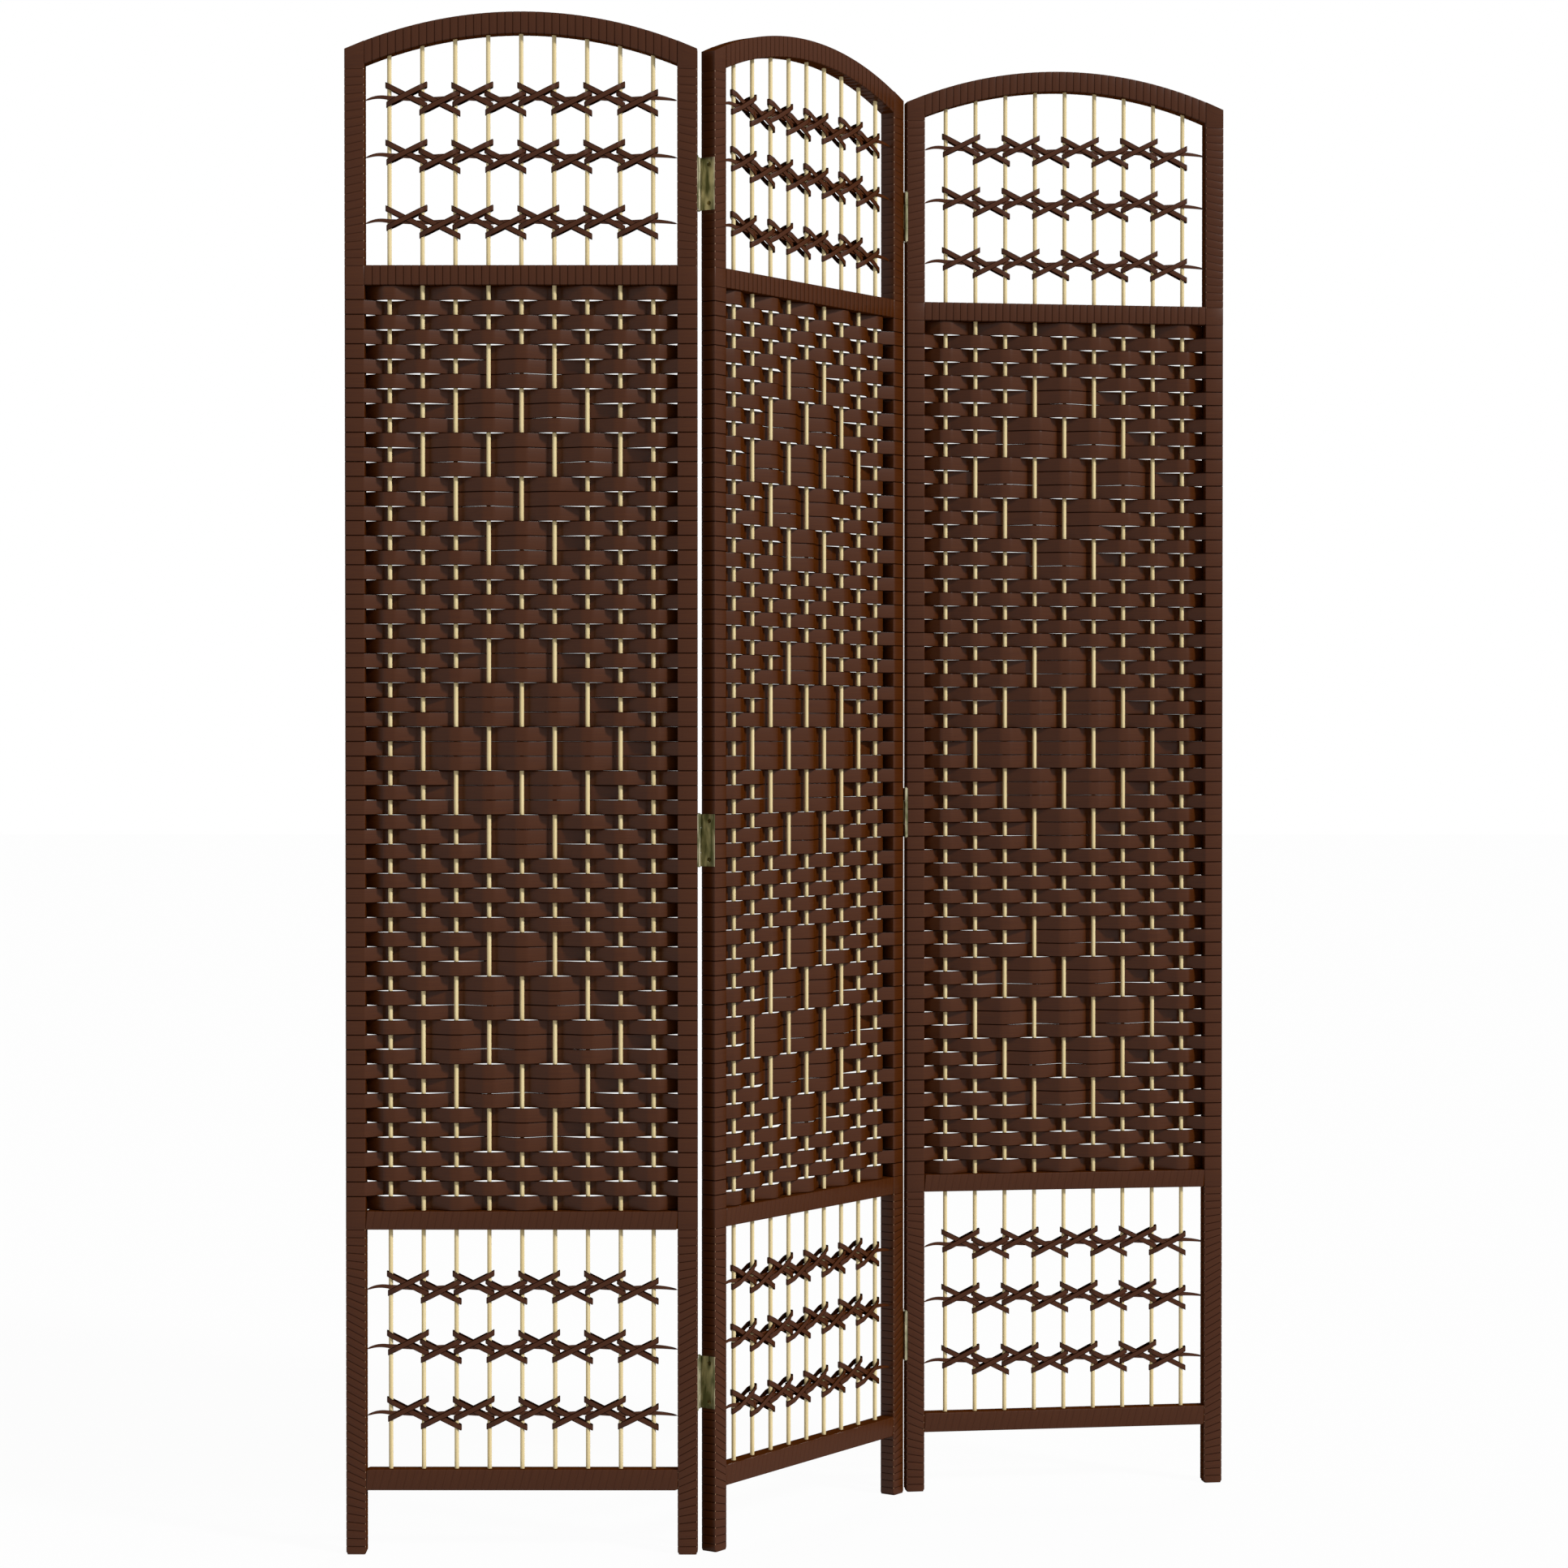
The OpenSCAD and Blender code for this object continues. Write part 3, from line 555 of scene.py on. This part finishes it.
def rail_wrap(name, depth, lean, above=0.0, below=0.0):
    """Open sleeve along a straight rail, fuller than a tight one above and below. A turn
    that leans lies at x = at + lean (z - middle of the rail)."""
    low, high = rail_span(name)
    low, high = low - below, high + above
    at, inset = rail_turns(depth)
    outer = round_box((-panel_d / 2, low), (panel_d / 2, high), edge_r, inset)
    x = at[:, None] + lean * (outer[..., 1] - (low + high) / 2)
    x = np.clip(x, post_w, panel_w - post_w)
    outer = np.concatenate([x[..., None], outer], -1)
    wall = wrap_t - core_play
    bore = round_box((wall - panel_d / 2, low + wall), (panel_d / 2 - wall, high - wall), bore_r)
    ends = [np.column_stack([np.full(len(bore), end), bore]) for end in (panel_w - post_w, post_w)]
    # Painted shade in the grooves between turns.
    edge = np.concatenate([inset / groove, [0, 0]])[:, None]
    return skin(np.concatenate([outer, np.stack(ends)]), edge, ring=True, fibre_on_path=False, start=low)


def arch_slice(x, inset):
    """Upright outline across the arch at each x: a rounded rectangle whose lower and
    upper sides are moved to the arch's two circles."""
    flat = round_box((-panel_d / 2, -arch_h / 2), (panel_d / 2, arch_h / 2), edge_r, inset)
    low, high = arch_z(x, arch_h)[:, None], arch_z(x)[:, None]
    z = (low + high) / 2 + flat[..., 1] * (high - low) / arch_h
    across = np.broadcast_to(flat[..., 0], z.shape)
    return np.stack([np.broadcast_to(x[:, None], z.shape), across, z], -1)


def arch_wrap():
    """Open sleeve along the arch, with upright turns."""
    at, inset = rail_turns(groove)
    outer = arch_slice(at, inset)
    bore = arch_slice(at[::-1], np.full(len(at), wrap_t - core_play))
    # Painted shade in the grooves between turns.
    edge = np.concatenate([inset / groove, np.zeros(len(at))])[:, None]
    return skin(np.concatenate([outer, bore]), edge, ring=True, fibre_on_path=False)


for panel, name in enumerate(panel_names):
    wraps = [rail_wrap("upper_rail", groove, lean=0.0, above=proud)]
    wraps += [rail_wrap("lower_rail", groove / 4, lean=0.2)]
    wraps += [rail_wrap("bottom_rail", groove / 4, lean=0.25, above=proud, below=proud)]
    wraps += [arch_wrap()]
    fibre_piece(f"{name}_rail_winding", wraps, panel, f"{name}_rail_wraps", paper_fibre)

# Lattices. Narrow ribbon knotted in rows above and below the weave. Each knot is a rising
# and a falling loop round two rods, the rising one on top at its middle, tied over a
# strand that runs from post to post.
strip_w = 6.6 * mm
strip_t = 0.9 * mm
strand_h = 4.6 * mm
strand_stations = 121
strand_taper = 0.35
strand_tip = 0.06
strand_wave = 0.7 * mm
strand_bow = 1.7 * mm
strand_dip = 2.3 * mm
knot_rise = 9.1 * mm
knot_step = 8.4 * mm
knot_bend = 0.9 * mm
knot_margin = 0.3
crossing_from = -12 * mm
crossing_to = 15.2 * mm
end_from = 1 * mm
end_to = 5 * mm
octagon = 1.08
upper_rows = np.array([0.207, 0.51, 0.7745])
lower_rows = np.array([0.234, 0.51, 0.757])
strip_play = 0.12 * mm
layer = strip_t + strip_play
on_rod = rod_d / 2 + strip_play + strip_t / 2


def knot_loop(middle, height, rising):
    """Loop round two rods that rises or falls to the right, with painted shade inside. It
    lies on the rods at its ends, one layer further out where it passes the strand and two
    where it crosses over the other loop. Its left end bends on two corners of an octagon
    round the rod. Its height is z = height + rise (x - middle) / half a rod pitch."""
    half = rod_pitch / 2
    crossing = on_rod + (2 if rising else 1) * layer
    left_end = on_rod if rising else on_rod + layer
    round_end = octagon * left_end * plan(np.radians(22.5))
    front = [(-half - x, y) for x, y in round_end]
    front += [(crossing_from, crossing), (crossing_to, crossing)]
    front += [(half + end_from, on_rod), (half + end_to, on_rod)]
    path = softened([(x, -y) for x, y in front] + front[::-1], knot_bend, closed=True)
    slope = (1 if rising else -1) * knot_rise / half
    path_z = height + slope * path[:, 0]
    path[:, 0] += middle
    points, edge = ribbon(path, path_z, strip_w, strip_t, closed=True, margin=knot_margin)
    # Painted shade on the inner side of the loop.
    edge[:6] = 1
    return skin(points, edge, ring=True, start=middle)


def strand(height):
    """Flat strand in front of the rods. It narrows to a point at each post and dips
    there, bows up a little towards the first rod, and waves gently from rod to rod."""
    x = np.linspace(post_w, panel_w - post_w, strand_stations)
    from_post = np.minimum(x - post_w, panel_w - post_w - x)
    share = np.clip(from_post / (rod_x[0] - post_w), 0, 1)
    tall = strand_h * np.maximum(share**strand_taper, strand_tip)
    wave = strand_wave * np.cos(np.pi * (x - rod_x[0]) / rod_pitch)
    bow = np.where(x < rod_x[0], strand_bow * np.sin(np.pi * share), 0)
    bow -= strand_dip * (1 - share) ** 3
    path = np.stack([x, np.full(len(x), -on_rod)], 1)
    points, edge = ribbon(path, height + wave * share + bow, tall, strip_t)
    return skin(points, edge, start=height)


def lattice(low, high, rows):
    """Knotted rows at shares of the clear height. Every second knot is lower by a step."""
    skins = []
    for height in low + (high - low) * rows:
        skins.append(strand(height))
        for i, x in enumerate(rod_x[:-1]):
            level = height + (0.5 if i % 2 == 0 else -0.5) * knot_step
            skins += [knot_loop(x + rod_pitch / 2, level, rising) for rising in (True, False)]
    return skins


for panel, name in enumerate(panel_names):
    above = lattice(rail_span("upper_rail")[1], screen_h - arch_rise, upper_rows)
    fibre_piece(f"{name}_upper_knots", above, panel, f"{name}_upper_lattice", paper_fibre)
    below = lattice(rail_span("bottom_rail")[1], rail_span("lower_rail")[0], lower_rows)
    fibre_piece(f"{name}_lower_knots", below, panel, f"{name}_lower_lattice", paper_fibre)

# Hinges. Butt hinges of rolled brass with slotted countersunk screws, three to a line.
# They are aged to olive and gold, and keep the CAD shape.


def aged_brass(name, size, dark, light, roughness):
    """Aged brass: two tones in soft upright streaks of a size, four times as tall as wide.
    It is smooth, and duller where it is dark."""
    material, tree, output = finish_named(name)
    low, high = 0.38, 0.62
    place = add(tree, "TexCoord").outputs["Object"]
    tall = add(tree, "Mapping", {"Vector": place, "Scale": (1 / size, 1 / size, 0.25 / size)})
    patches = add(tree, "TexNoise", {"Vector": tall.outputs[0], "Scale": 1.0, "Detail": 2.0})
    tones = add(tree, "ValToRGB", {"Fac": patches.outputs["Fac"]})
    tones.color_ramp.elements[0].position = low
    tones.color_ramp.elements[0].color = linear(dark)
    tones.color_ramp.elements[1].position = high
    tones.color_ramp.elements[1].color = linear(light)
    dull = add(tree, "MapRange", {
        "Value": patches.outputs["Fac"], "From Min": low, "From Max": high,
        "To Min": roughness + 0.1, "To Max": roughness})
    brass = add(tree, "BsdfPrincipled", {
        "Base Color": tones.outputs["Color"], "Metallic": 1.0, "Roughness": dull.outputs[0]})
    tree.links.new(brass.outputs[0], output.inputs[0])
    return material


plates = ["outer_leaves", "inner_leaves", "pins"]
plate_brass = aged_brass("rolled_aged_brass", 6 * mm, "#606041", "#B5AD8F", 0.3)
finish_nodes([f"{s}_hinge_{n}" for s in ("left", "right") for n in plates], plate_brass)
screws = ["outer_screws", "inner_screws"]
# The screws are aged brass, made darker than the leaves as painted shade for the shadowed gap round each
# head.
screw_brass = aged_brass("turned_aged_brass_painted_shade", 3 * mm, "#3A331D", "#7C7048", 0.25)
finish_nodes([f"{s}_hinge_{n}" for s in ("left", "right") for n in screws], screw_brass)

# Floor and light. A wide white floor and a pale room that look plain white, a low sun from
# the right and in front, and a weaker one from behind. The floor keeps a faint shadow.
glow_share = 0.96
floor_grey = 0.6
room_light = 0.42


def plain_view(tree):
    """Factor of 1 for rays from the camera and for those off or through a gloss, which
    see plain white, and of 0 for the rays that light the screen."""
    ray = add(tree, "LightPath").outputs
    direct = add(tree, "Math", {0: ray["Is Camera Ray"], 1: ray["Is Glossy Ray"]}, operation="ADD")
    through = ray["Is Transmission Ray"]
    return add(tree, "Math", {0: direct.outputs[0], 1: through}, operation="ADD").outputs[0]


floor_mesh = bpy.data.meshes.new("floor")
floor_corners = [(-30, -30, 0), (30, -30, 0), (30, 30, 0), (-30, 30, 0)]
floor_mesh.from_pydata(floor_corners, [], [(0, 1, 2, 3)])
floor = bpy.data.objects.new("floor", floor_mesh)
bpy.context.scene.collection.objects.link(floor)
material, tree, output = finish_named("white_floor")
paint = add(tree, "BsdfDiffuse", {"Color": (floor_grey, floor_grey, floor_grey, 1)})
glow = add(tree, "Emission", {"Color": (1, 1, 1, 1), "Strength": 1.0})
part = add(tree, "Math", {0: plain_view(tree), 1: glow_share}, operation="MULTIPLY")
mixed = add(tree, "MixShader", {0: part.outputs[0], 1: paint.outputs[0], 2: glow.outputs[0]})
tree.links.new(mixed.outputs[0], output.inputs[0])
floor_mesh.materials.append(material)

world = bpy.data.worlds.new("pale_room")
bpy.context.scene.world = world
world.use_nodes = True
tree = world.node_tree
tree.nodes.clear()
level = add(tree, "MapRange", {"Value": plain_view(tree), "To Min": room_light, "To Max": 1.0})
sky = add(tree, "Background", {"Color": (1, 1, 1, 1), "Strength": level.outputs[0]})
room = tree.nodes.new("ShaderNodeOutputWorld")
tree.links.new(sky.outputs[0], room.inputs[0])

for name, energy, tilt, turn in [("front_sun", 3.0, 57, 55), ("back_sun", 1.2, 63, 160)]:
    sun_data = bpy.data.lights.new(name, "SUN")
    sun_data.energy = energy
    sun_data.angle = np.radians(9)
    sun = bpy.data.objects.new(name, sun_data)
    sun.rotation_euler = (np.radians(tilt), 0, np.radians(turn))
    bpy.context.scene.collection.objects.link(sun)

# Camera, where the photograph was taken from: level with the middle of the screen, four
# metres in front of it, with a long lens.
camera_data = bpy.data.cameras.new("camera")
camera_data.lens = 83.0
camera_data.sensor_width = 36
camera_data.clip_end = 200
camera = bpy.data.objects.new("camera", camera_data)
camera.location = (-0.0119, -4.1851, 0.900)
camera.rotation_euler = (np.radians(90 - 0.706), 0, np.radians(0.158))
bpy.context.scene.collection.objects.link(camera)
bpy.context.scene.camera = camera
bpy.context.scene.view_settings.view_transform = "Standard"

bpy.context.view_layer.update()
